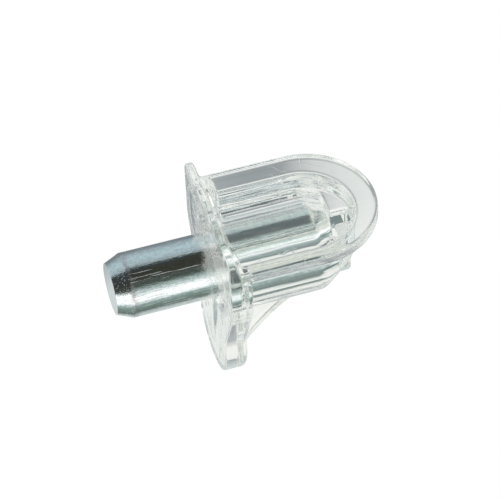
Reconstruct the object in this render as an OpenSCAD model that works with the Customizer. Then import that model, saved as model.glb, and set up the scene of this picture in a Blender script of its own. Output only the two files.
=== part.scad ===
// Shelf support: a clear moulded seat with a pressed-in steel pin for a 5 mm system hole.
// Frame: +X runs along the pin from the cabinet face to the seat's tip, +Z up, origin on the pin's axis at the cabinet face.

/* [Steel pin] */
// Diameter of the steel pin
pin_d = 5; // [4:0.1:5.6]
// Length of the pin that stands out of the cabinet face
pin_out = 7.7; // [5:0.1:12]
// Length of the pin that is held inside the support
pin_in = 9.2; // [7:0.1:9.6]
// Length of the lead-in cone at each end of the pin
lead_len = 1.2; // [0.4:0.1:2]
// How far the lead-in cone drops below the pin's surface
lead_drop = 0.5; // [0.2:0.1:1.2]
// Rounding between the pin's side and its lead-in cones
lead_r = 0.4; // [0.1:0.1:1]
// Gap all round between the held end of the pin and its seat in the plastic
pin_gap = 0.01; // [0.005:0.005:0.05]
// Moulding draft of the bore: how far its radius narrows over the held length, and the pin's held end with it
bore_draft = 0.04; // [0.02:0.01:0.1]

/* [Shelf seat] */
// Width of the seat that the shelf lies on
seat_w = 10.9; // [9.6:0.1:11.4]
// Distance from the cabinet face to the round tip of the seat
seat_len = 13.15; // [12.6:0.05:18]
// Thickness of the seat
seat_t = 1.15; // [0.8:0.05:1.35]
// Height of the seat's top above the pin's axis
seat_z = 4; // [3.9:0.1:6]
// Rounding of the seat's rim
rim_r = 0.3; // [0.1:0.05:0.38]

/* [Flange] */
// Width of the flange behind the seat
flange_w = 11.7; // [11.3:0.1:16]
// Thickness of the flange
flange_t = 1.85; // [1.4:0.05:2.4]
// Drop from the pin's axis to the shoulder where the flange narrows
shoulder_drop = 0.1; // [0:0.1:2]
// Drop from the pin's axis to the waist where the tongue starts
waist_drop = 5.4; // [4.5:0.1:6.2]
// Width of the tongue below the waist
tongue_w = 7; // [5:0.1:8]
// Drop from the pin's axis to the lowest point of the tongue
tongue_drop = 10.6; // [10.4:0.1:16]
// Rounding of the flange's back edge
back_r = 0.5; // [0.2:0.05:0.7]

/* [Stop lip] */
// Height of the stop lip above the seat
lip_h = 1.7; // [1.1:0.1:3]
// Thickness of the stop lip at its top
lip_t = 0.55; // [0.3:0.05:0.9]
// Thickness of the stop lip at its foot on the seat
lip_foot = 1; // [0.9:0.05:1.3]
// Rounding of the lip's two upper corners
lip_r = 0.9; // [0.4:0.1:2]

/* [Pin housing] */
// Wall of plastic round the pin
boss_wall = 1.4; // [0.9:0.05:1.5]
// Distance from the cabinet face to the end of the round housing
boss_len = 8.2; // [6:0.1:8.8]
// Length of the housing's tapered nose
nose_len = 1.5; // [1.2:0.1:2]
// How far the nose narrows on the radius
nose_drop = 1; // [0.3:0.1:1.1]
// Distance from the cabinet face to the tip of the solid under the seat
core_len = 11.4; // [11.2:0.1:12]
// Drop from the pin's axis to the underside of the solid under the seat
core_drop = 0.4; // [0:0.1:1]
// Fillet between the solid and the underside of the seat
core_fillet = 0.35; // [0.1:0.05:0.5]

/* [Rib] */
// Thickness of the stiffening rib on the centre line
rib_t = 1.2; // [0.8:0.1:2]
// Distance from the cabinet face to the end of the rib
rib_len = 11.1; // [10.2:0.1:11.2]
// Drop from the pin's axis to the rib's lower edge at its end
rib_end_drop = 3.85; // [3:0.05:5]
// Drop from the pin's axis to the rib's foot on the flange
rib_foot_drop = 10; // [7.5:0.1:10.2]
// How strongly the rib's lower edge curves; 1 is straight
rib_sweep = 2.2; // [1:0.1:3]

/* [Hidden] */
$fn = 64;
pin_r = pin_d / 2;
held_r = pin_r - pin_gap;
boss_r = pin_r + boss_wall;
bore_len = pin_in + pin_gap;
seat_half = seat_w / 2;
seat_cx = seat_len - seat_half;
seat_under = seat_z - seat_t;
core_cx = core_len - boss_r;
lip_top = seat_z + lip_h;
pad_top = seat_under + seat_t / 3;
lip_slack = 1;
flange_half = flange_w / 2;
tongue_half = tongue_w / 2;
arc_n = 8;
small_r = 1.5;
clear = "#e3e9e6";
zinc = "#c3cbd0";

function unit(v) = v / norm(v);
// Arc that rounds the corner b between a and c with radius r
function corner(a, b, c, r, steps = arc_n) =
    let (u = unit(a - b), v = unit(c - b), half = acos(u * v) / 2,
         m = b + unit(u + v) * r / sin(half),
         p = b + u * r / tan(half), q = b + v * r / tan(half),
         a0 = atan2(p.y - m.y, p.x - m.x), a1 = atan2(q.y - m.y, q.x - m.x),
         sweep = ((a1 - a0 + 540) % 360) - 180)
    [for (i = [0:steps]) m + r * [cos(a0 + sweep * i / steps), sin(a0 + sweep * i / steps)]];
// Closed outline through the points k = [y, z, radius], every corner rounded
function rounded(k) = let (n = len(k))
    [for (i = [0:n - 1]) each corner([k[(i + n - 1) % n].x, k[(i + n - 1) % n].y],
        [k[i].x, k[i].y], [k[(i + 1) % n].x, k[(i + 1) % n].y], k[i].z, k[i].z < small_r ? arc_n / 2 : arc_n)];
// Shield outline of the flange, up to the height top
function shield(top) = rounded([
    [flange_half, top, lip_r], [-flange_half, top, lip_r],
    [-flange_half, -shoulder_drop, 3], [-tongue_half, -waist_drop, 1],
    [-tongue_half, -tongue_drop, tongue_half * 0.97], [tongue_half, -tongue_drop, tongue_half * 0.97],
    [tongue_half, -waist_drop, 1], [flange_half, -shoulder_drop, 3]]);
// The outline k moved inwards by d
function inset(k, d) = let (n = len(k)) [for (i = [0:n - 1])
    let (t = unit(k[(i + 1) % n] - k[(i + n - 1) % n])) k[i] + d * [-t.y, t.x]];

// Stands a drawing of width and height up across the X axis and pulls it along X
module along_x(length) rotate([90, 0, 90]) linear_extrude(length) children();

// Sweeps a half profile along both straight sides from x0 to cx and round the tip
module round_tip(x0, cx) {
    translate([x0, 0, 0]) along_x(cx - x0) { children(); mirror([1, 0]) children(); }
    translate([cx, 0, 0]) rotate([0, 0, -90]) rotate_extrude(angle = 180) children();
}

module seat() round_tip(lip_t / 2, seat_cx) {
    translate([0, seat_under]) square([seat_half - rim_r, seat_t]);
    translate([0, seat_under + rim_r]) square([seat_half, seat_t - 2 * rim_r]);
    for (z = [seat_under + rim_r, seat_z - rim_r]) translate([seat_half - rim_r, z]) circle(rim_r);
}

// Solid between the seat and the pin, with a fillet under the seat
module core() round_tip(lip_t / 2, core_cx) {
    translate([0, -core_drop]) square([boss_r, seat_under + core_drop + seat_t / 2]);
    difference() {
        translate([boss_r - 0.1, seat_under - core_fillet])
            square([core_fillet + 0.1, core_fillet + seat_t / 2]);
        translate([boss_r + core_fillet, seat_under - core_fillet]) circle(core_fillet);
    }
}

// Round housing of the pin with its tapered nose
module boss() rotate([0, 90, 0]) {
    cylinder(h = boss_len, r = boss_r);
    translate([0, 0, boss_len]) cylinder(h = nose_len, r1 = boss_r, r2 = boss_r - nose_drop);
}

// Sheet with the full outline, which stands above the seat as the stop lip and thins towards its top
module lip() intersection() {
    along_x(lip_foot) polygon(shield(lip_top));
    rotate([90, 0, 0]) linear_extrude(flange_w + 2 * lip_slack, center = true) polygon([
        [-lip_slack, -tongue_drop - lip_slack], [lip_foot + lip_slack, -tongue_drop - lip_slack],
        [lip_foot + lip_slack, seat_z], [lip_foot, seat_z],
        [lip_t, lip_top], [lip_t, lip_top + lip_slack], [-lip_slack, lip_top + lip_slack]]);
}

// Thick flange behind the sheet, with its back edge rounded
module flange() {
    base = shield(pad_top);
    n = len(base);
    steps = 6;
    rings = concat([[lip_foot / 2, 0]], [for (i = [0:steps])
        [flange_t - back_r + back_r * sin(90 * i / steps), back_r * (1 - cos(90 * i / steps))]]);
    pts = [for (g = rings) each [for (p = inset(base, g.y)) [g.x, p.x, p.y]]];
    m = len(rings);
    polyhedron(points = pts, faces = concat(
        [[for (i = [0:n - 1]) i]],
        [[for (i = [0:n - 1]) (m - 1) * n + n - 1 - i]],
        [for (j = [0:m - 2], i = [0:n - 1])
            [j * n + i, (j + 1) * n + i, (j + 1) * n + (i + 1) % n, j * n + (i + 1) % n]]));
}

// Rib on the centre line; its lower edge is steep at the flange and levels out towards the end
module rib() {
    n = 20;
    rotate([90, 0, 0]) linear_extrude(rib_t, center = true) polygon(concat(
        [[rib_len, seat_under + seat_t / 2], [lip_t / 2, seat_under + seat_t / 2], [lip_t / 2, -rib_foot_drop]],
        [for (i = [0:n]) let (u = i / n)
            [flange_t + (rib_len - flange_t) * u,
             -rib_end_drop - (rib_foot_drop - rib_end_drop) * pow(1 - u, rib_sweep)]]));
}

module support_body() color(clear, 0.5) difference() {
    union() { lip(); flange(); seat(); core(); boss(); rib(); }
    rotate([0, 90, 0]) rotate_extrude() polygon([
        [0, -1], [pin_r, -1], [pin_r, 0], [pin_r - bore_draft, bore_len - lead_len],
        [pin_r - bore_draft - lead_drop, bore_len], [0, bore_len]]);
}

// Steel pin with a lead-in cone at each end; the held end is smaller by the gap and follows the bore
module steel_pin() {
    tip = [pin_r - lead_drop, -pin_out];
    shoulder = [pin_r, lead_len - pin_out];
    end = [held_r - bore_draft - lead_drop, pin_in];
    neck = [held_r - bore_draft, pin_in - lead_len];
    color(zinc) rotate([0, 90, 0]) rotate_extrude() polygon(concat(
        [[0, -pin_out], tip], corner(tip, shoulder, [pin_r, 0], lead_r, 4), [[pin_r, 0], [held_r, 0]],
        corner([held_r, 0], neck, end, lead_r, 4), [end, [0, pin_in]]));
}

support_body();
steel_pin();
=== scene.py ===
"""Shelf support pin: a clear moulded seat with a pressed-in zinc-plated steel pin.

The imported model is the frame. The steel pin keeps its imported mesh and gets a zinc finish. The clear body is
moulded again from the same sizes with the small fillets and rounded edges that clear plastic shows, and takes
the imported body's place. Sizes of the body are in millimetres, everything placed in the scene is in metres, in
the frame of the model: X along the pin, Z up.
"""

import logging
import math
from dataclasses import dataclass, field
from enum import Enum
from itertools import product

import bpy
import numpy as np
from mathutils import Matrix, Vector

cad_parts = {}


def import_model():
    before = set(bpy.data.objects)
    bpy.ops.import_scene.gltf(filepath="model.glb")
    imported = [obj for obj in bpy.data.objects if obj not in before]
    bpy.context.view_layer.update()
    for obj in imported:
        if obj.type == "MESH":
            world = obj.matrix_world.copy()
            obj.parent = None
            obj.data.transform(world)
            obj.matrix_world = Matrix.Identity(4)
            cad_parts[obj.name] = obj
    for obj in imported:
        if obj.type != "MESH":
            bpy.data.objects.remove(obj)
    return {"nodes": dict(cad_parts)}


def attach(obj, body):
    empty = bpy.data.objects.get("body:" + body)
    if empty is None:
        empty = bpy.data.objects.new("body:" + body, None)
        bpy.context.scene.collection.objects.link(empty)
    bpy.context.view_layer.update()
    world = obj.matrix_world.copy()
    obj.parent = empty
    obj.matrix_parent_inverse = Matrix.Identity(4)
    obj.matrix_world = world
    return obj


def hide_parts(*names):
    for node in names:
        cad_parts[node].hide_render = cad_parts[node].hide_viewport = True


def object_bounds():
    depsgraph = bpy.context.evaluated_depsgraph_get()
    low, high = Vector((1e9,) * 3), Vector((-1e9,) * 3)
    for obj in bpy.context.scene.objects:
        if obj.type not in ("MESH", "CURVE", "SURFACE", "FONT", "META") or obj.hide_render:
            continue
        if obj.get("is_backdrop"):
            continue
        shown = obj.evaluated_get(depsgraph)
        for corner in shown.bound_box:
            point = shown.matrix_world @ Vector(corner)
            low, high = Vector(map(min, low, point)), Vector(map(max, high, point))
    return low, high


LOG = logging.getLogger("shelf_support")
MM = 0.001
DEGREE = math.radians(1.0)
Array = np.ndarray
Span = tuple[float, float]
Triple = tuple[float, float, float]
Colour = tuple[float, float, float]
Stops = tuple[tuple[float, Colour], ...]
Socket = bpy.types.NodeSocket
Inputs = dict[int | str, object]
ALL_BOUNCES = 24
CLEAR_BOUNCES = 20
LOW_BANDS: Stops = (
    (-180.0, (0.42, 0.50, 0.53)),
    (-130.0, (0.80, 0.83, 0.84)),
    (-88.0, (0.66, 0.70, 0.69)),
    (-72.0, (0.24, 0.28, 0.26)),
    (-45.0, (0.30, 0.38, 0.35)),
)


class Part(Enum):
    """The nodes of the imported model."""

    BODY = "support_body"
    PIN = "steel_pin"


class Slot(Enum):
    """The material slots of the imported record."""

    CLEAR = "clear_plastic"
    ZINC = "zinc_steel"


class Ray(Enum):
    """The kinds of ray that the pale background answers."""

    CAMERA = "Is Camera Ray"
    GLOSSY = "Is Glossy Ray"
    TRANSMISSION = "Is Transmission Ray"


def rgba(colour: Colour) -> tuple[float, float, float, float]:
    """Return the colour with full opacity."""
    return (*colour, 1.0)


def join(a: Array, b: Array, fillet: float) -> Array:
    """Join two solids, given by their distances, with a fillet between them.

    Args:
        a: distance to the first solid, below zero inside it.
        b: distance to the second solid.
        fillet: how wide the fillet is, in millimetres.

    Returns:
        Distance to the joined solid.
    """
    share = np.maximum(fillet - np.abs(a - b), 0.0) / fillet
    return np.minimum(a, b) - share * share * fillet / 4


def trim(a: Array, b: Array, soft: float) -> Array:
    """Keep what two solids share and soften the edge between them.

    Args:
        a: distance to the first solid, below zero inside it.
        b: distance to the second solid.
        soft: how wide the softened edge is, in millimetres.

    Returns:
        Distance to the shared solid.
    """
    return -join(-a, -b, soft)


def round_off(a: Array, b: Array, radius: float) -> Array:
    """Keep what two solids with square edges share and round the edge with a true arc.

    Args:
        a: distance to the first solid, below zero inside it.
        b: distance to the second solid.
        radius: radius of the edge, in millimetres.

    Returns:
        Distance to the shared solid.
    """
    corner = np.hypot(np.maximum(a + radius, 0.0), np.maximum(b + radius, 0.0))
    return np.minimum(np.maximum(a, b), -radius) + corner


@dataclass(frozen=True)
class Shield:
    """Outline of the flange across the pin: square top, sloping shoulders, tongue with a round end."""

    half_width: float = 5.85
    shoulder: float = -0.1
    waist: float = -5.4
    tongue_half: float = 3.5
    lowest: float = -10.6
    corner_soft: float = 1.05
    shoulder_soft: float = 0.27
    waist_soft: float = 0.25
    slope_tail: float = 2.0

    def distance(self, y: Array, z: Array, top: float) -> Array:
        """Measure how far points lie outside the outline.

        Args:
            y: distance from the centre plane.
            z: height above the pin's axis.
            top: height of the outline's top edge.

        Returns:
            Distance to the outline, below zero inside.
        """
        run, rise = self.half_width - self.tongue_half, self.shoulder - self.waist
        length = math.hypot(run, rise)
        slope = ((y - self.half_width) * rise - (z - self.shoulder) * run) / length
        upper = trim(y - self.half_width, slope, self.shoulder_soft)
        upper = np.maximum(upper, self.waist - self.slope_tail - z)
        centre = self.lowest + self.tongue_half
        tongue = np.hypot(y, np.minimum(z - centre, 0.0)) - self.tongue_half
        return trim(join(upper, tongue, self.waist_soft), z - top, self.corner_soft)


@dataclass(frozen=True)
class StopLip:
    """Front sheet with the full outline; it stands above the seat and thins towards its top."""

    outline: Shield
    foot: float = 1.0
    top_thickness: float = 0.55
    seat_z: float = 4.0
    top: float = 5.7
    foot_soft: float = 0.1
    edge: float = 0.16

    def distance(self, x: Array, y: Array, z: Array) -> Array:
        """Measure how far points lie outside the sheet.

        Args:
            x: place along the pin, in millimetres.
            y: place across the seat.
            z: height above the pin's axis.

        Returns:
            Distance to the sheet, below zero inside.
        """
        run, rise = self.foot - self.top_thickness, self.top - self.seat_z
        back = ((x - self.foot) * rise + (z - self.seat_z) * run) / math.hypot(run, rise)
        back = trim(x - self.foot, back, self.foot_soft)
        return round_off(self.outline.distance(y, z, self.top), back, self.edge)


@dataclass(frozen=True)
class Flange:
    """Thick flange behind the front sheet, with a rounded back edge."""

    outline: Shield
    thickness: float = 1.85
    top: float = 3.2
    back_radius: float = 0.5

    def distance(self, x: Array, y: Array, z: Array) -> Array:
        """Return the distance of points to the flange."""
        return round_off(self.outline.distance(y, z, self.top), x - self.thickness, self.back_radius)


@dataclass(frozen=True)
class Seat:
    """Flat seat with straight sides, a round tip and a rounded rim."""

    half_width: float = 5.45
    tip_x: float = 13.15
    top: float = 4.0
    thickness: float = 1.15
    rim: float = 0.3

    def distance(self, x: Array, y: Array, z: Array) -> Array:
        """Measure how far points lie outside the seat.

        Args:
            x: place along the pin, in millimetres.
            y: place across the seat.
            z: height above the pin's axis.

        Returns:
            Distance to the seat, below zero inside.
        """
        centre = self.tip_x - self.half_width
        side = np.hypot(np.maximum(x - centre, 0.0), y) - self.half_width
        level = np.abs(z - self.top + self.thickness / 2) - self.thickness / 2
        return round_off(side, level, self.rim)


@dataclass(frozen=True)
class Core:
    """Solid between the seat and the pin's housing."""

    half_width: float = 3.9
    tip_x: float = 11.4
    underside: float = -0.4
    top: float = 3.3
    edge: float = 0.2

    def distance(self, x: Array, y: Array, z: Array) -> Array:
        """Measure how far points lie outside the solid.

        Args:
            x: place along the pin, in millimetres.
            y: place across the seat.
            z: height above the pin's axis.

        Returns:
            Distance to the solid, below zero inside.
        """
        centre = self.tip_x - self.half_width
        side = np.hypot(np.maximum(x - centre, 0.0), y) - self.half_width
        return round_off(side, np.maximum(self.underside - z, z - self.top), self.edge)


@dataclass(frozen=True)
class Housing:
    """Round housing of the pin with its tapered nose."""

    radius: float = 3.9
    length: float = 8.2
    nose_length: float = 1.5
    nose_drop: float = 1.0
    edge: float = 0.25

    def distance(self, x: Array, y: Array, z: Array) -> Array:
        """Measure how far points lie outside the housing.

        Args:
            x: place along the pin, in millimetres.
            y: place across the seat.
            z: height above the pin's axis.

        Returns:
            Distance to the housing, below zero inside.
        """
        around = np.hypot(y, z) - self.radius
        taper = around * self.nose_length + (x - self.length) * self.nose_drop
        taper = taper / math.hypot(self.nose_length, self.nose_drop)
        return trim(trim(around, taper, self.edge), x - self.length - self.nose_length, self.edge)


@dataclass(frozen=True)
class Rib:
    """Stiffening rib on the centre plane; its lower edge is steep at the flange and levels out."""

    thickness: float = 1.2
    start_x: float = 1.85
    end_x: float = 11.1
    foot: float = -10.0
    end: float = -3.85
    sweep: float = 2.2
    top: float = 3.3
    end_soft: float = 0.3
    edge: float = 0.14

    def distance(self, x: Array, y: Array, z: Array) -> Array:
        """Measure how far points lie outside the rib.

        Args:
            x: place along the pin, in millimetres.
            y: place across the seat.
            z: height above the pin's axis.

        Returns:
            Distance to the rib, below zero inside.
        """
        run, rise = self.end_x - self.start_x, self.end - self.foot
        left = 1.0 - np.clip((x - self.start_x) / run, 0.0, 1.0)
        lower = self.end - rise * left**self.sweep
        steep = rise * self.sweep * left ** (self.sweep - 1.0) / run
        cut = (lower - z) / np.hypot(1.0, steep)
        cut = trim(cut, np.maximum(x - self.end_x, z - self.top), self.end_soft)
        return round_off(y - self.thickness / 2, cut, self.edge)


@dataclass(frozen=True)
class Bore:
    """Blind bore that holds the pin, with a hair's gap round it and a tapered end."""

    radius: float = 2.535
    draft: float = 0.04
    depth: float = 9.23
    lead: float = 1.2
    lead_drop: float = 0.5
    edge: float = 0.12

    def distance(self, x: Array, y: Array, z: Array) -> Array:
        """Measure how far points lie outside the bore.

        Args:
            x: place along the pin, in millimetres.
            y: place across the seat.
            z: height above the pin's axis.

        Returns:
            Distance to the bore, below zero inside.
        """
        around = np.hypot(y, z) - self.radius + self.draft * np.clip(x / self.depth, 0.0, 1.0)
        taper = around + self.draft + (x - self.depth + self.lead) * self.lead_drop / self.lead
        taper = taper / math.hypot(1.0, self.lead_drop / self.lead)
        return trim(trim(around, taper, self.edge), x - self.depth, self.edge)


@dataclass(frozen=True)
class Skin:
    """Turns a solid given by distances into a mesh of even quads with true normals."""

    step: float = 0.1
    low: Triple = (-0.33, -6.2, -11.0)
    high: Triple = (13.6, 6.2, 6.1)
    pulls: int = 5
    evened: tuple[int, ...] = (1, 2)
    least_growth: float = 0.2
    probe: float = 0.002

    def slope(self, solid: "SupportBody", points: Array) -> tuple[Array, Array]:
        """Measure the distance at points and the way in which it grows.

        Args:
            solid: the body, with a distance method.
            points: rows of x, y, z in millimetres.

        Returns:
            The distances, and the rows of growth along x, y, z.
        """
        growth = np.empty_like(points)
        for axis in range(3):
            shift = np.zeros(3)
            shift[axis] = self.probe
            gain = solid.distance(*(points + shift).T) - solid.distance(*(points - shift).T)
            growth[:, axis] = gain / (2 * self.probe)
        return solid.distance(*points.T), growth

    def build(self, solid: "SupportBody") -> tuple[Array, Array, Array]:
        """Mesh the solid.

        Args:
            solid: the body, with a distance method.

        Returns:
            Points in millimetres, quads as rows of four indices, and normals.
        """
        axes = [np.arange(lo, hi, self.step) for lo, hi in zip(self.low, self.high)]
        grid = np.meshgrid(*axes, indexing="ij")
        inside = solid.distance(*grid) < 0.0
        sides = (slice(None, -1), slice(1, None))
        corners = list(product(sides, repeat=3))
        count = sum(inside[corner].astype(np.int8) for corner in corners)
        mixed = (count > 0) & (count < len(corners))
        label = np.full(mixed.shape, -1, dtype=np.int64)
        label[mixed] = np.arange(int(mixed.sum()))
        middles = [axis[:-1] + self.step / 2 for axis in axes]
        points = np.stack([middle[index] for middle, index in zip(middles, np.nonzero(mixed))], axis=1)
        quads = np.concatenate([self.faces_across(axis, inside, label) for axis in range(3)])
        for turn in range(self.pulls):
            if turn in self.evened:
                points = self.even_out(points, quads)
            distance, growth = self.slope(solid, points)
            square = np.maximum((growth**2).sum(axis=1), self.least_growth)
            points = points - (distance / square)[:, None] * growth
        normals = self.slope(solid, points)[1]
        return points, quads, normals / np.linalg.norm(normals, axis=1)[:, None]

    @staticmethod
    def faces_across(axis: int, inside: Array, label: Array) -> Array:
        """Lay one quad across each grid line that enters or leaves the solid.

        Args:
            axis: the direction of the grid lines.
            inside: which grid points are in the solid.
            label: the mesh point of each grid cell.

        Returns:
            Quads as rows of four indices.
        """
        flags, cells = np.moveaxis(inside, axis, 0), np.moveaxis(label, axis, 0)
        i, j, k = np.nonzero(flags[:-1, 1:-1, 1:-1] != flags[1:, 1:-1, 1:-1])
        ring = (cells[i, j, k], cells[i, j + 1, k], cells[i, j + 1, k + 1], cells[i, j, k + 1])
        quads = np.stack(ring, axis=1)
        turned = ~flags[i, j + 1, k + 1] if axis != 1 else flags[i, j + 1, k + 1]
        quads[turned] = quads[turned][:, ::-1]
        return quads

    @staticmethod
    def even_out(points: Array, quads: Array) -> Array:
        """Move each point half way to the middle of its neighbours.

        Args:
            points: rows of x, y, z.
            quads: rows of four indices.

        Returns:
            The moved points.
        """
        total, weight = np.zeros_like(points), np.zeros(len(points))
        for a, b in ((0, 1), (1, 2), (2, 3), (3, 0)):
            for one, other in ((quads[:, a], quads[:, b]), (quads[:, b], quads[:, a])):
                np.add.at(total, one, points[other])
                np.add.at(weight, one, 1.0)
        return points / 2 + total / weight[:, None] / 2


@dataclass(frozen=True)
class Pattern:
    """Soft random pattern: the size of its patches, in metres, and how many finer layers it has."""

    size: float
    detail: float


class NodeSheet:
    """A node tree that is filled in from left to right."""

    def __init__(self, tree: bpy.types.NodeTree) -> None:
        """Empty the tree and keep it.

        Args:
            tree: the tree to fill.
        """
        self.tree = tree
        tree.nodes.clear()

    def add(self, kind: str, inputs: Inputs | None = None, **settings: object) -> bpy.types.Node:
        """Add a node.

        Args:
            kind: the node's type, such as "ShaderNodeMath".
            inputs: an output to join or a plain value, for each input by index or name.
            settings: the node's own settings.

        Returns:
            The new node.
        """
        node = self.tree.nodes.new(kind)
        for name, value in settings.items():
            setattr(node, name, value)
        for key, value in (inputs or {}).items():
            if isinstance(value, Socket):
                self.tree.links.new(value, node.inputs[key])
            else:
                node.inputs[key].default_value = value
        return node

    def calc(self, operation: str, *terms: Socket | float) -> Socket:
        """Work out one step of arithmetic.

        Args:
            operation: its name, such as "MULTIPLY".
            terms: outputs or plain numbers, in order.

        Returns:
            The result.
        """
        return self.add("ShaderNodeMath", dict(enumerate(terms)), operation=operation).outputs[0]

    def spread(self, source: Socket, span: Span, result: Span = (0.0, 1.0)) -> Socket:
        """Turn one range of a value into another, and hold it at both ends.

        Args:
            source: the value.
            span: the values that become the ends of the result.
            result: the two ends of the result.

        Returns:
            The new value.
        """
        return self.add("ShaderNodeMapRange", dict(enumerate((source, *span, *result)))).outputs[0]

    def fade(self, height: Socket, *limits: tuple[Socket, Span]) -> Socket:
        """Fade a height out by one value after another.

        Args:
            height: the height.
            limits: pairs of a value and the two values of it at which the height is nothing and full.

        Returns:
            The faded height.
        """
        for value, span in limits:
            height = self.calc("MULTIPLY", height, self.spread(value, span))
        return height

    def split(self, place: Socket) -> tuple[Socket, Socket, Socket]:
        """Take a place apart into x, y and z."""
        return tuple(self.add("ShaderNodeSeparateXYZ", {0: place}).outputs)

    def stretch(self, place: Socket, scale: Triple) -> Socket:
        """Scale a place, so that patterns grow longer where the scale is small."""
        return self.add("ShaderNodeMapping", {"Vector": place, "Scale": scale}).outputs[0]

    def noise(self, place: Socket, pattern: Pattern) -> Socket:
        """Make a soft random pattern.

        Args:
            place: the place that it is read at.
            pattern: its size and detail.

        Returns:
            The pattern, from nothing to one.
        """
        inputs = {"Vector": place, "Scale": 1.0 / pattern.size, "Detail": pattern.detail}
        return self.add("ShaderNodeTexNoise", inputs).outputs[0]

    def ramp(self, source: Socket, stops: Stops) -> Socket:
        """Colour a value by stops.

        Args:
            source: the value, from 0 to 1.
            stops: pairs of position and colour, in rising order.

        Returns:
            The colour.
        """
        node = self.add("ShaderNodeValToRGB", {0: source})
        elements = node.color_ramp.elements
        while len(elements) < len(stops):
            elements.new(1.0)
        for element, (position, colour) in zip(elements, stops):
            element.position = position
            element.color = rgba(colour)
        return node.outputs[0]

    def bands(self, source: Socket, stops: Stops, unit: float) -> Socket:
        """Colour a length or an angle by stops.

        Args:
            source: the length in metres or the angle in radians.
            stops: pairs of place and colour, in rising order.
            unit: the size of one step of the stops' places, in metres or radians.

        Returns:
            The colour.
        """
        low, high = stops[0][0], stops[-1][0]
        share = self.spread(source, (low * unit, high * unit))
        return self.ramp(share, tuple(((at - low) / (high - low), colour) for at, colour in stops))

    def blend(self, share: Socket, first: Socket | Colour, second: Socket | Colour) -> Socket:
        """Mix two colours.

        Args:
            share: how much of the second colour, from 0 to 1.
            first: the colour at 0.
            second: the colour at 1.

        Returns:
            The mixed colour.
        """
        first, second = (rgba(side) if isinstance(side, tuple) else side for side in (first, second))
        return self.add("ShaderNodeMix", {0: share, 6: first, 7: second}, data_type="RGBA").outputs[2]

    def over(self, share: Socket, under: Socket, top: Socket) -> Socket:
        """Lay one shader over another, as much as the share says."""
        return self.add("ShaderNodeMixShader", {0: share, 1: under, 2: top}).outputs[0]

    def bumps(self, *layers: tuple[Socket, float]) -> Socket:
        """Lay bump over bump.

        Args:
            layers: pairs of a height and the depth of it in metres, the lowest first.

        Returns:
            The normal.
        """
        below: Inputs = {}
        for height, depth in layers:
            node = self.add("ShaderNodeBump", {"Height": height, "Distance": depth, **below})
            below = {"Normal": node.outputs[0]}
        return node.outputs[0]


def start_material(name: str) -> tuple[bpy.types.Material, NodeSheet]:
    """Start a material.

    Args:
        name: its name.

    Returns:
        The material and its empty node tree.
    """
    material = bpy.data.materials.new(name)
    material.use_nodes = True
    return material, NodeSheet(material.node_tree)


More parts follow.
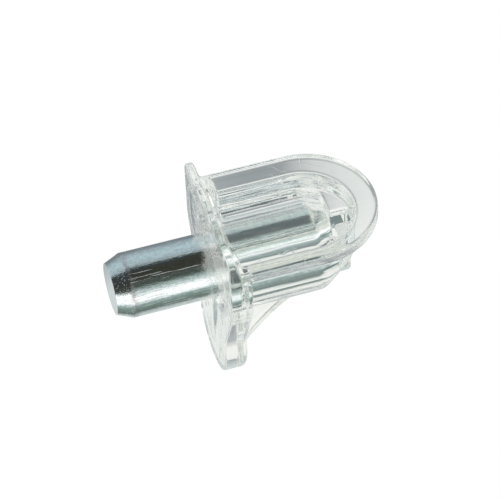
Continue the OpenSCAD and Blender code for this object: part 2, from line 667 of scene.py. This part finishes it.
@dataclass(frozen=True)
class ClearPlastic:
    """Water-clear, glossy moulded polymer with a trace of grey-green.

    It has flow waves and a few hairline scratches on the seat's top. The upright walls of the solid under the
    seat carry the fine level ridges of their mould.
    """

    cloud: Pattern = Pattern(2.7 * MM, 3.0)
    tint: Stops = ((0.35, (0.965, 0.98, 0.972)), (0.75, (0.93, 0.95, 0.94)))
    polish_span: Span = (0.35, 0.75)
    roughness: Span = (0.012, 0.05)
    refraction: float = 1.57
    flow_stretch: Triple = (0.25, 1.0, 1.0)
    wave: Pattern = Pattern(0.9 * MM, 1.0)
    wave_height: float = 0.018 * MM
    ripple: Pattern = Pattern(0.3 * MM, 2.0)
    ripple_height: float = 0.0025 * MM
    ridge: Pattern = Pattern(0.42 * MM, 0.5)
    ridge_stretch: Triple = (0.03, 0.03, 1.0)
    ridge_height: float = 0.09 * MM
    ridge_low: float = -0.4 * MM
    ridge_high: float = 2.55 * MM
    ridge_fade: float = 0.25 * MM
    wall_inside: float = 3.2 * MM
    wall_outside: float = 4.1 * MM
    wall_end: float = 9.8 * MM
    scratch_size: float = 2.6 * MM
    scratch_height: float = 0.008 * MM
    scratch_edge: Span = (0.022, 0.008)
    bend_size: float = 6.5 * MM
    bend_reach: float = 4.16 * MM
    gaps: Pattern = Pattern(1.82 * MM, 2.0)
    gaps_span: Span = (0.50, 0.58)
    seat_low: Span = (3.4 * MM, 3.7 * MM)
    seat_high: Span = (4.3 * MM, 4.1 * MM)

    def build(self) -> bpy.types.Material:
        """Build the material.

        Returns:
            The clear plastic.
        """
        material, sheet = start_material("clear_plastic_moulded")
        place = sheet.add("ShaderNodeTexCoord").outputs["Object"]
        flow = sheet.stretch(place, self.flow_stretch)
        cloud = sheet.noise(place, self.cloud)
        normal = sheet.bumps(
            (sheet.noise(flow, self.wave), self.wave_height),
            (sheet.noise(flow, self.ripple), self.ripple_height),
            (self.ridges(sheet, place), self.ridge_height),
            (self.scratches(sheet, place), self.scratch_height),
        )
        inputs = {
            "Base Color": sheet.ramp(cloud, self.tint),
            "Roughness": sheet.spread(cloud, self.polish_span, self.roughness),
            "IOR": self.refraction,
            "Transmission Weight": 1.0,
            "Normal": normal,
        }
        shader = sheet.add("ShaderNodeBsdfPrincipled", inputs)
        sheet.add("ShaderNodeOutputMaterial", {"Surface": shader.outputs[0]})
        return material

    def ridges(self, sheet: NodeSheet, place: Socket) -> Socket:
        """Draw fine level ridges on the upright walls of the solid under the seat.

        Args:
            sheet: the node tree.
            place: the place on the body.

        Returns:
            The height of the ridges, nothing off the walls.
        """
        x, y, z = sheet.split(place)
        side = sheet.calc("ABSOLUTE", y)
        end = sheet.calc("SUBTRACT", x, self.wall_end - self.wall_inside)
        reach = sheet.calc("MAXIMUM", side, end)
        soft = self.ridge_fade
        return sheet.fade(
            sheet.noise(sheet.stretch(place, self.ridge_stretch), self.ridge),
            (reach, (self.wall_inside, self.wall_inside + soft)),
            (side, (self.wall_outside + soft, self.wall_outside)),
            (z, (self.ridge_low, self.ridge_low + soft)),
            (z, (self.ridge_high, self.ridge_high - soft)),
        )

    def scratches(self, sheet: NodeSheet, place: Socket) -> Socket:
        """Draw a few thin, bent lines on the seat's top, which fade out at their ends.

        Args:
            sheet: the node tree.
            place: the place on the body.

        Returns:
            The height, one in a scratch and nothing elsewhere.
        """
        bend = sheet.add("ShaderNodeTexNoise", {"Vector": place, "Scale": 1.0 / self.bend_size})
        inputs = {0: bend.outputs[1], "Scale": self.bend_reach}
        drift = sheet.add("ShaderNodeVectorMath", inputs, operation="SCALE")
        moved = sheet.add("ShaderNodeVectorMath", {0: place, 1: drift.outputs[0]}, operation="ADD")
        inputs = {"Vector": moved.outputs[0], "Scale": 1.0 / self.scratch_size}
        cells = sheet.add("ShaderNodeTexVoronoi", inputs, feature="DISTANCE_TO_EDGE")
        z = sheet.split(place)[2]
        return sheet.fade(
            sheet.spread(cells.outputs[0], self.scratch_edge),
            (sheet.noise(place, self.gaps), self.gaps_span),
            (z, self.seat_low),
            (z, self.seat_high),
        )


@dataclass(frozen=True)
class ZincPlate:
    """Bright zinc plate on turned steel, with fine lines along the pin and specks.

    A duller ring lies at the shoulder. The end face is smoother, and the held part has fewer marks.
    """

    mottle: Pattern = Pattern(0.3 * MM, 5.0)
    clean: Stops = ((0.38, (0.83, 0.86, 0.86)), (0.66, (0.70, 0.745, 0.735)))
    spotted: Stops = ((0.32, (0.70, 0.745, 0.735)), (0.56, (0.60, 0.66, 0.63)))
    polish_span: Span = (0.3, 0.75)
    roughness: Span = (0.02, 0.07)
    grain: Pattern = Pattern(0.1 * MM, 3.0)
    grain_stretch: Triple = (0.18, 1.0, 1.0)
    grain_height: float = 0.009 * MM
    speck: Pattern = Pattern(0.09 * MM, 2.0)
    speck_span: Span = (0.58, 0.66)
    speck_height: float = 0.0055 * MM
    line: Pattern = Pattern(0.07 * MM, 1.0)
    line_stretch: Triple = (0.02, 1.0, 1.0)
    line_span: Span = (0.66, 0.72)
    line_height: float = 0.007 * MM
    held_from: Span = (0.4 * MM, 0.0)
    held_share: Span = (0.45, 1.0)
    face_at: Span = (-7.69 * MM, -7.6 * MM)
    face_share: Span = (0.02, 1.0)
    ring: Colour = (0.66, 0.64, 0.645)
    ring_roughness: float = 0.25
    ring_at: float = -6.4 * MM
    ring_reach: Span = (0.3 * MM, 0.1 * MM)
    ring_breaks: Span = (0.36, 0.52)

    def build(self) -> bpy.types.Material:
        """Build the material.

        Returns:
            The zinc-plated steel.
        """
        material, sheet = start_material("zinc_plate_turned")
        place = sheet.add("ShaderNodeTexCoord").outputs["Object"]
        grain = sheet.noise(sheet.stretch(place, self.grain_stretch), self.grain)
        speck = sheet.noise(place, self.speck)
        mottle = sheet.noise(place, self.mottle)
        plate = sheet.blend(
            sheet.spread(speck, self.speck_span),
            sheet.ramp(mottle, self.clean),
            sheet.ramp(mottle, self.spotted),
        )
        x = sheet.split(place)[0]
        ring = self.shoulder(sheet, x, mottle)
        polish = sheet.spread(mottle, self.polish_span, self.roughness)
        line = sheet.noise(sheet.stretch(place, self.line_stretch), self.line)
        turned = sheet.spread(x, self.face_at, self.face_share)
        both = sheet.calc("MULTIPLY", turned, sheet.spread(x, self.held_from, self.held_share))
        normal = sheet.bumps(
            (sheet.calc("MULTIPLY", grain, turned), self.grain_height),
            (sheet.calc("MULTIPLY", sheet.spread(line, self.line_span), both), self.line_height),
            (sheet.calc("MULTIPLY", speck, both), self.speck_height),
        )
        inputs = {
            "Base Color": sheet.blend(ring, plate, self.ring),
            "Metallic": 1.0,
            "Roughness": sheet.calc("MULTIPLY_ADD", ring, self.ring_roughness, polish),
            "Normal": normal,
        }
        shader = sheet.add("ShaderNodeBsdfPrincipled", inputs)
        sheet.add("ShaderNodeOutputMaterial", {"Surface": shader.outputs[0]})
        return material

    def shoulder(self, sheet: NodeSheet, x: Socket, mottle: Socket) -> Socket:
        """Mark the shoulder between the pin's side and its lead-in cone.

        Args:
            sheet: the node tree.
            x: the place along the pin.
            mottle: the mottle that breaks the ring up.

        Returns:
            The ring's share, one on the shoulder and nothing elsewhere.
        """
        away = sheet.calc("ABSOLUTE", sheet.calc("SUBTRACT", x, self.ring_at))
        return sheet.fade(sheet.spread(away, self.ring_reach), (mottle, self.ring_breaks))


@dataclass(frozen=True)
class DeepLight:
    """Cream light for what is seen through many walls of the clear plastic, one behind the other."""

    colour: Colour = (1.28, 1.18, 1.10)
    walls: Span = (4.0, 6.0)
    share: Span = (0.0, 0.85)

    def lift(self, sheet: NodeSheet, path: bpy.types.Node, colour: Socket) -> Socket:
        """Make a colour paler by the number of walls that the light has passed.

        Args:
            sheet: the node tree.
            path: the light path node.
            colour: the colour behind the plastic.

        Returns:
            The paler colour.
        """
        much = sheet.spread(path.outputs["Transmission Depth"], self.walls, self.share)
        return sheet.blend(much, colour, self.colour)


@dataclass(frozen=True)
class PaleFloor:
    """Matt pale floor. The camera sees it as a white sheet that keeps the object's shadow.

    Metal and glass see the sheet too, with painted shadow and painted light on it: a soft grey painted shadow
    pool in front of the object, and a painted bright band further in front. Through the clear plastic the sheet
    is painted pale under the object as painted caustic light, and painted grey in front of it and behind it as
    painted shadow. The stops give a place in millimetres and the colour there.
    """

    colour: Colour = (0.82, 0.83, 0.83)
    camera_share: float = 0.86
    glass_share: float = 0.9
    sheet: float = 1.125
    # Painted shadow and painted light that metal mirrors: a painted bright band from 36 mm to 25 mm in front, a
    # painted shadow pool from 20 mm to 5 mm in front, and painted grey from 10 mm behind.
    across: Stops = (
        (-36.0, (1.45, 1.45, 1.44)),
        (-30.0, (1.40, 1.42, 1.41)),
        (-25.0, (1.04, 1.13, 1.12)),
        (-20.4, (0.48, 0.58, 0.56)),
        (-16.6, (0.33, 0.43, 0.40)),
        (-13.7, (0.26, 0.35, 0.315)),
        (-9.1, (0.20, 0.265, 0.235)),
        (-7.1, (0.165, 0.21, 0.19)),
        (-5.4, (0.16, 0.20, 0.185)),
        (-4.9, (0.26, 0.30, 0.285)),
        (-4.2, (0.58, 0.63, 0.62)),
        (-3.2, (0.64, 0.70, 0.69)),
        (0.0, (0.68, 0.74, 0.73)),
        (6.0, (0.74, 0.79, 0.79)),
        (10.0, (0.36, 0.40, 0.41)),
        (16.0, (0.25, 0.29, 0.31)),
        (40.0, (0.22, 0.26, 0.28)),
    )
    # Painted light and shadow seen through the clear plastic: a painted bright band far in front, a painted
    # shadow pool from 20 mm to 5 mm in front, and painted cream caustic light under the object.
    through: Stops = (
        (-36.0, (1.30, 1.30, 1.29)),
        (-28.0, (1.15, 1.15, 1.13)),
        (-20.0, (0.62, 0.70, 0.69)),
        (-13.7, (0.33, 0.41, 0.40)),
        (-8.0, (0.18, 0.235, 0.23)),
        (-5.4, (0.15, 0.195, 0.19)),
        (-4.9, (0.30, 0.34, 0.32)),
        (-4.2, (0.68, 0.72, 0.705)),
        (-2.0, (0.98, 0.98, 0.94)),
        (6.0, (1.02, 1.01, 0.98)),
    )
    # Painted shadow behind the object, seen through the clear plastic: darkest from 5 mm to 11 mm along the
    # pin, pale before -8 mm and past the seat's tip.
    along: Stops = (
        (-8.0, (0.92, 0.93, 0.92)),
        (0.0, (0.46, 0.48, 0.49)),
        (5.0, (0.36, 0.38, 0.39)),
        (8.0, (0.29, 0.31, 0.32)),
        (11.0, (0.32, 0.33, 0.34)),
        (13.6, (0.70, 0.71, 0.70)),
        (18.0, (0.93, 0.93, 0.91)),
    )
    # The painted shadow behind the object takes over from 6 mm to 12 mm behind; left of x = -4 mm the painted
    # shadow pool in front bends towards the object.
    behind: Span = (6.0 * MM, 12.0 * MM)
    turned_from: float = -4.0 * MM
    turned_by: float = 0.6
    deep: DeepLight = DeepLight()

    def build(self) -> bpy.types.Material:
        """Build the material.

        Returns:
            The floor's material.
        """
        material, sheet = start_material("pale_floor")
        path = sheet.add("ShaderNodeLightPath")
        # Painted shadow and painted light on the floor for metal and glass, with painted cream light where it
        # is seen through many walls.
        mirrored, passed = self.painted_pools(sheet)
        passed = self.deep.lift(sheet, path, passed)
        surface = sheet.add("ShaderNodeBsdfDiffuse", {"Color": rgba(self.colour)}).outputs[0]
        for ray, share, glow in (
            (Ray.CAMERA, self.camera_share, {"Strength": self.sheet}),
            (Ray.GLOSSY, self.glass_share, {"Color": mirrored}),
            (Ray.TRANSMISSION, self.glass_share, {"Color": passed}),
        ):
            part = sheet.calc("MULTIPLY", path.outputs[ray.value], share)
            surface = sheet.over(part, surface, sheet.add("ShaderNodeEmission", glow).outputs[0])
        sheet.add("ShaderNodeOutputMaterial", {"Surface": surface})
        return material

    def painted_pools(self, sheet: NodeSheet) -> tuple[Socket, Socket]:
        """Paint shadow and light on the sheet by the place on it.

        Args:
            sheet: the node tree.

        Returns:
            The painted shadow and light that metal mirrors, and the painted shadow and light seen through the
            plastic.
        """
        x, y, _ = sheet.split(sheet.add("ShaderNodeTexCoord").outputs["Object"])
        left = sheet.calc("MINIMUM", sheet.calc("SUBTRACT", x, self.turned_from), 0.0)
        skew = sheet.calc("MULTIPLY_ADD", left, self.turned_by, y)
        behind = sheet.spread(y, self.behind)
        passed = sheet.blend(behind, sheet.bands(y, self.through, MM), sheet.bands(x, self.along, MM))
        return sheet.bands(skew, self.across, MM), passed


@dataclass(frozen=True)
class LightTent:
    """Soft light all round the pin's axis: pale behind, dark overhead, brightest low in front.

    The stops give an angle in degrees, 0 in front and 90 overhead, and the colour there. The bands stand
    harder towards the cabinet side, and the far end is plain and pale. Light that comes through the clear
    plastic finds the dark part paler.
    """

    stops: Stops = (
        *LOW_BANDS,
        (-33.0, (0.46, 0.56, 0.54)),
        (-25.0, (1.42, 1.44, 1.44)),
        (0.0, (1.42, 1.44, 1.44)),
        (5.0, (0.84, 0.91, 0.91)),
        (21.0, (0.45, 0.54, 0.52)),
        (32.0, (0.10, 0.125, 0.11)),
        (46.0, (0.055, 0.070, 0.060)),
        (48.5, (0.19, 0.21, 0.19)),
        (51.0, (0.050, 0.054, 0.043)),
        (80.0, (0.046, 0.048, 0.038)),
        (101.0, (0.050, 0.060, 0.062)),
        (108.0, (0.42, 0.50, 0.54)),
        (140.0, (0.54, 0.68, 0.74)),
        (163.0, (0.43, 0.52, 0.56)),
        (180.0, (0.30, 0.35, 0.38)),
    )
    hard: Stops = (
        (-180.0, (0.42, 0.50, 0.53)),
        (-75.0, (0.30, 0.36, 0.34)),
        (-44.0, (0.22, 0.28, 0.25)),
        (-38.0, (1.30, 1.32, 1.32)),
        (9.0, (1.30, 1.32, 1.32)),
        (13.0, (0.50, 0.55, 0.54)),
        (17.0, (0.09, 0.10, 0.09)),
        (50.0, (0.045, 0.050, 0.045)),
        (100.0, (0.055, 0.065, 0.070)),
        (107.0, (0.46, 0.54, 0.58)),
        (150.0, (0.54, 0.68, 0.74)),
        (180.0, (0.42, 0.50, 0.53)),
    )
    hard_reach: Span = (-0.35, -0.50)
    far_end: Colour = (1.02, 1.0, 0.95)
    end_reach: Span = (0.30, 0.70)
    through: Stops = (
        *LOW_BANDS,
        (-32.0, (0.50, 0.60, 0.58)),
        (-22.0, (1.30, 1.32, 1.31)),
        (0.0, (1.30, 1.32, 1.31)),
        (6.0, (0.90, 0.95, 0.94)),
        (22.0, (0.58, 0.67, 0.64)),
        (34.0, (0.18, 0.21, 0.20)),
        (51.0, (0.125, 0.135, 0.130)),
        (101.0, (0.115, 0.135, 0.145)),
        (107.0, (0.52, 0.58, 0.58)),
        (140.0, (0.74, 0.80, 0.79)),
        (163.0, (0.62, 0.66, 0.66)),
        (180.0, (0.46, 0.49, 0.50)),
    )
    through_side: Colour = (1.06, 1.04, 0.96)
    through_side_share: float = 0.7
    deep: DeepLight = DeepLight()
    white: Colour = (1.0, 1.0, 1.0)

    def build(self) -> bpy.types.World:
        """Build the world.

        Returns:
            The world, white to the camera and a soft tent to all else.
        """
        world = bpy.data.worlds.new("light_tent")
        world.use_nodes = True
        sheet = NodeSheet(world.node_tree)
        x, y, z = sheet.split(sheet.add("ShaderNodeTexCoord").outputs["Generated"])
        turn = sheet.calc("ARCTAN2", z, sheet.calc("MULTIPLY", y, -1.0))
        bands = (self.stops, self.hard, self.through)
        soft, hard, passed = (sheet.bands(turn, stops, DEGREE) for stops in bands)
        path = sheet.add("ShaderNodeLightPath")
        cabinet_side = sheet.spread(x, self.hard_reach)
        mirrored = sheet.blend(cabinet_side, soft, hard)
        paler = sheet.calc("MULTIPLY", cabinet_side, self.through_side_share)
        passed = self.deep.lift(sheet, path, sheet.blend(paler, passed, self.through_side))
        colour = sheet.blend(path.outputs[Ray.TRANSMISSION.value], mirrored, passed)
        colour = sheet.blend(sheet.spread(x, self.end_reach), colour, self.far_end)
        tent = sheet.add("ShaderNodeBackground", {"Color": colour})
        white = sheet.add("ShaderNodeBackground", {"Color": rgba(self.white)})
        surface = sheet.over(path.outputs[Ray.CAMERA.value], tent.outputs[0], white.outputs[0])
        sheet.add("ShaderNodeOutputWorld", {"Surface": surface})
        return world


@dataclass
class SupportBody:
    """The clear moulded body: stop lip, flange, seat, core, housing and rib in one piece, less the bore."""

    fillet: float = 0.3
    face_edge: float = 0.16
    mouth_edge: float = 0.1
    outline: Shield = field(default_factory=Shield)
    seat: Seat = field(default_factory=Seat)
    core: Core = field(default_factory=Core)
    housing: Housing = field(default_factory=Housing)
    rib: Rib = field(default_factory=Rib)
    bore: Bore = field(default_factory=Bore)
    skin: Skin = field(default_factory=Skin)
    finish: ClearPlastic = field(default_factory=ClearPlastic)

    def distance(self, x: Array, y: Array, z: Array) -> Array:
        """Measure how far points lie outside the body.

        Args:
            x: place along the pin, in millimetres.
            y: place across the seat.
            z: height above the pin's axis.

        Returns:
            Distance to the body, below zero inside.
        """
        y = np.abs(y)
        sheet = StopLip(self.outline).distance(x, y, z)
        solid = np.minimum(sheet, Flange(self.outline).distance(x, y, z))
        solid = join(solid, self.seat.distance(x, y, z), self.fillet)
        solid = join(solid, self.core.distance(x, y, z), self.fillet)
        solid = join(solid, self.housing.distance(x, y, z), self.fillet)
        solid = join(solid, self.rib.distance(x, y, z), self.fillet)
        solid = trim(solid, -x, self.face_edge)
        return trim(solid, -self.bore.distance(x, y, z), self.mouth_edge)

    def build(self) -> bpy.types.Object:
        """Mould the body and put the clear finish on it.

        Returns:
            The dressed body.
        """
        points, quads, normals = self.skin.build(self)
        mesh = bpy.data.meshes.new("clear_body")
        mesh.from_pydata((points * MM).tolist(), [], quads.tolist())
        mesh.polygons.foreach_set("use_smooth", np.ones(len(quads), dtype=bool))
        mesh.normals_split_custom_set_from_vertices(normals.tolist())
        mesh.materials.append(self.finish.build())
        body = bpy.data.objects.new("clear_body", mesh)
        bpy.context.scene.collection.objects.link(body)
        return body


@dataclass
class SteelPin:
    """The turned steel pin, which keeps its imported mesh."""

    node: bpy.types.Object
    finish: ZincPlate = field(default_factory=ZincPlate)

    def dress(self) -> bpy.types.Object:
        """Put the zinc finish on the pin.

        Returns:
            The dressed object.
        """
        self.node.data.materials.clear()
        self.node.data.materials.append(self.finish.build())
        return self.node


@dataclass
class Studio:
    """Pale floor and soft light round the object."""

    floor_z: float
    floor_half: float = 2.0
    floor_finish: PaleFloor = field(default_factory=PaleFloor)
    tent: LightTent = field(default_factory=LightTent)

    def build(self) -> bpy.types.Object:
        """Lay the floor and set the world.

        Returns:
            The floor.
        """
        h = self.floor_half
        mesh = bpy.data.meshes.new("floor")
        mesh.from_pydata([(-h, -h, 0), (h, -h, 0), (h, h, 0), (-h, h, 0)], [], [(0, 1, 2, 3)])
        mesh.materials.append(self.floor_finish.build())
        floor = bpy.data.objects.new("floor", mesh)
        floor.location = (0.0, 0.0, self.floor_z)
        bpy.context.scene.collection.objects.link(floor)
        floor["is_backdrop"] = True
        bpy.context.scene.world = self.tent.build()
        return floor


@dataclass
class ViewCamera:
    """The camera, by its turn round the object, its height angle, its roll and its distance."""

    azimuth: float = -15.452
    elevation: float = 47.258
    roll: float = -2.554
    distance: float = 211.556 * MM
    aim_right: float = 3.0954 * MM
    aim_up: float = 1.0963 * MM
    lens: float = 202.22
    sensor: float = 36.0
    clip: Span = (0.01, 10.0)

    def axes(self) -> tuple[Vector, Vector, Vector]:
        """Work out which way the camera looks.

        Returns:
            Its right, up and back directions.
        """
        a, e, r = (math.radians(v) for v in (self.azimuth, self.elevation, self.roll))
        back = Vector((math.sin(a) * math.cos(e), -math.cos(a) * math.cos(e), math.sin(e)))
        level = Vector((math.cos(a), math.sin(a), 0.0))
        above = back.cross(level)
        right = level * math.cos(r) + above * math.sin(r)
        return right, back.cross(right), back

    def build(self) -> bpy.types.Object:
        """Place the camera and make it the scene's own.

        Returns:
            The camera.
        """
        right, up, back = self.axes()
        data = bpy.data.cameras.new("view_camera")
        data.lens = self.lens
        data.sensor_width = self.sensor
        data.clip_start, data.clip_end = self.clip
        camera = bpy.data.objects.new("view_camera", data)
        spot = right * self.aim_right + up * self.aim_up + back * self.distance
        turn = Matrix((right, up, back)).transposed().to_4x4()
        camera.matrix_world = Matrix.Translation(spot) @ turn
        bpy.context.scene.collection.objects.link(camera)
        bpy.context.scene.camera = camera
        return camera


def main() -> None:
    """Build the pieces in order and report each one."""
    logging.basicConfig(level=logging.INFO, format="%(name)s: %(message)s")
    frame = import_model()
    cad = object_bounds()
    body = SupportBody().build()
    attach(body, "root")
    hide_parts(Part.BODY.value)
    LOG.info("%s: %d faces", body.name, len(body.data.polygons))
    pin = SteelPin(frame["nodes"][Part.PIN.value]).dress()
    LOG.info("%s: %d faces", pin.name, len(pin.data.polygons))
    floor = Studio(floor_z=cad[0].z).build()
    LOG.info("%s at %.1f mm", floor.name, floor.location.z / MM)
    camera = ViewCamera().build()
    LOG.info("%s at %.0f mm", camera.name, camera.location.length / MM)
    bpy.context.scene.view_settings.view_transform = "Standard"
    light = bpy.context.scene.cycles
    light.max_bounces = ALL_BOUNCES
    light.glossy_bounces = light.transmission_bounces = CLEAR_BOUNCES
    bpy.context.view_layer.update()


if __name__ == "__main__":
    main()
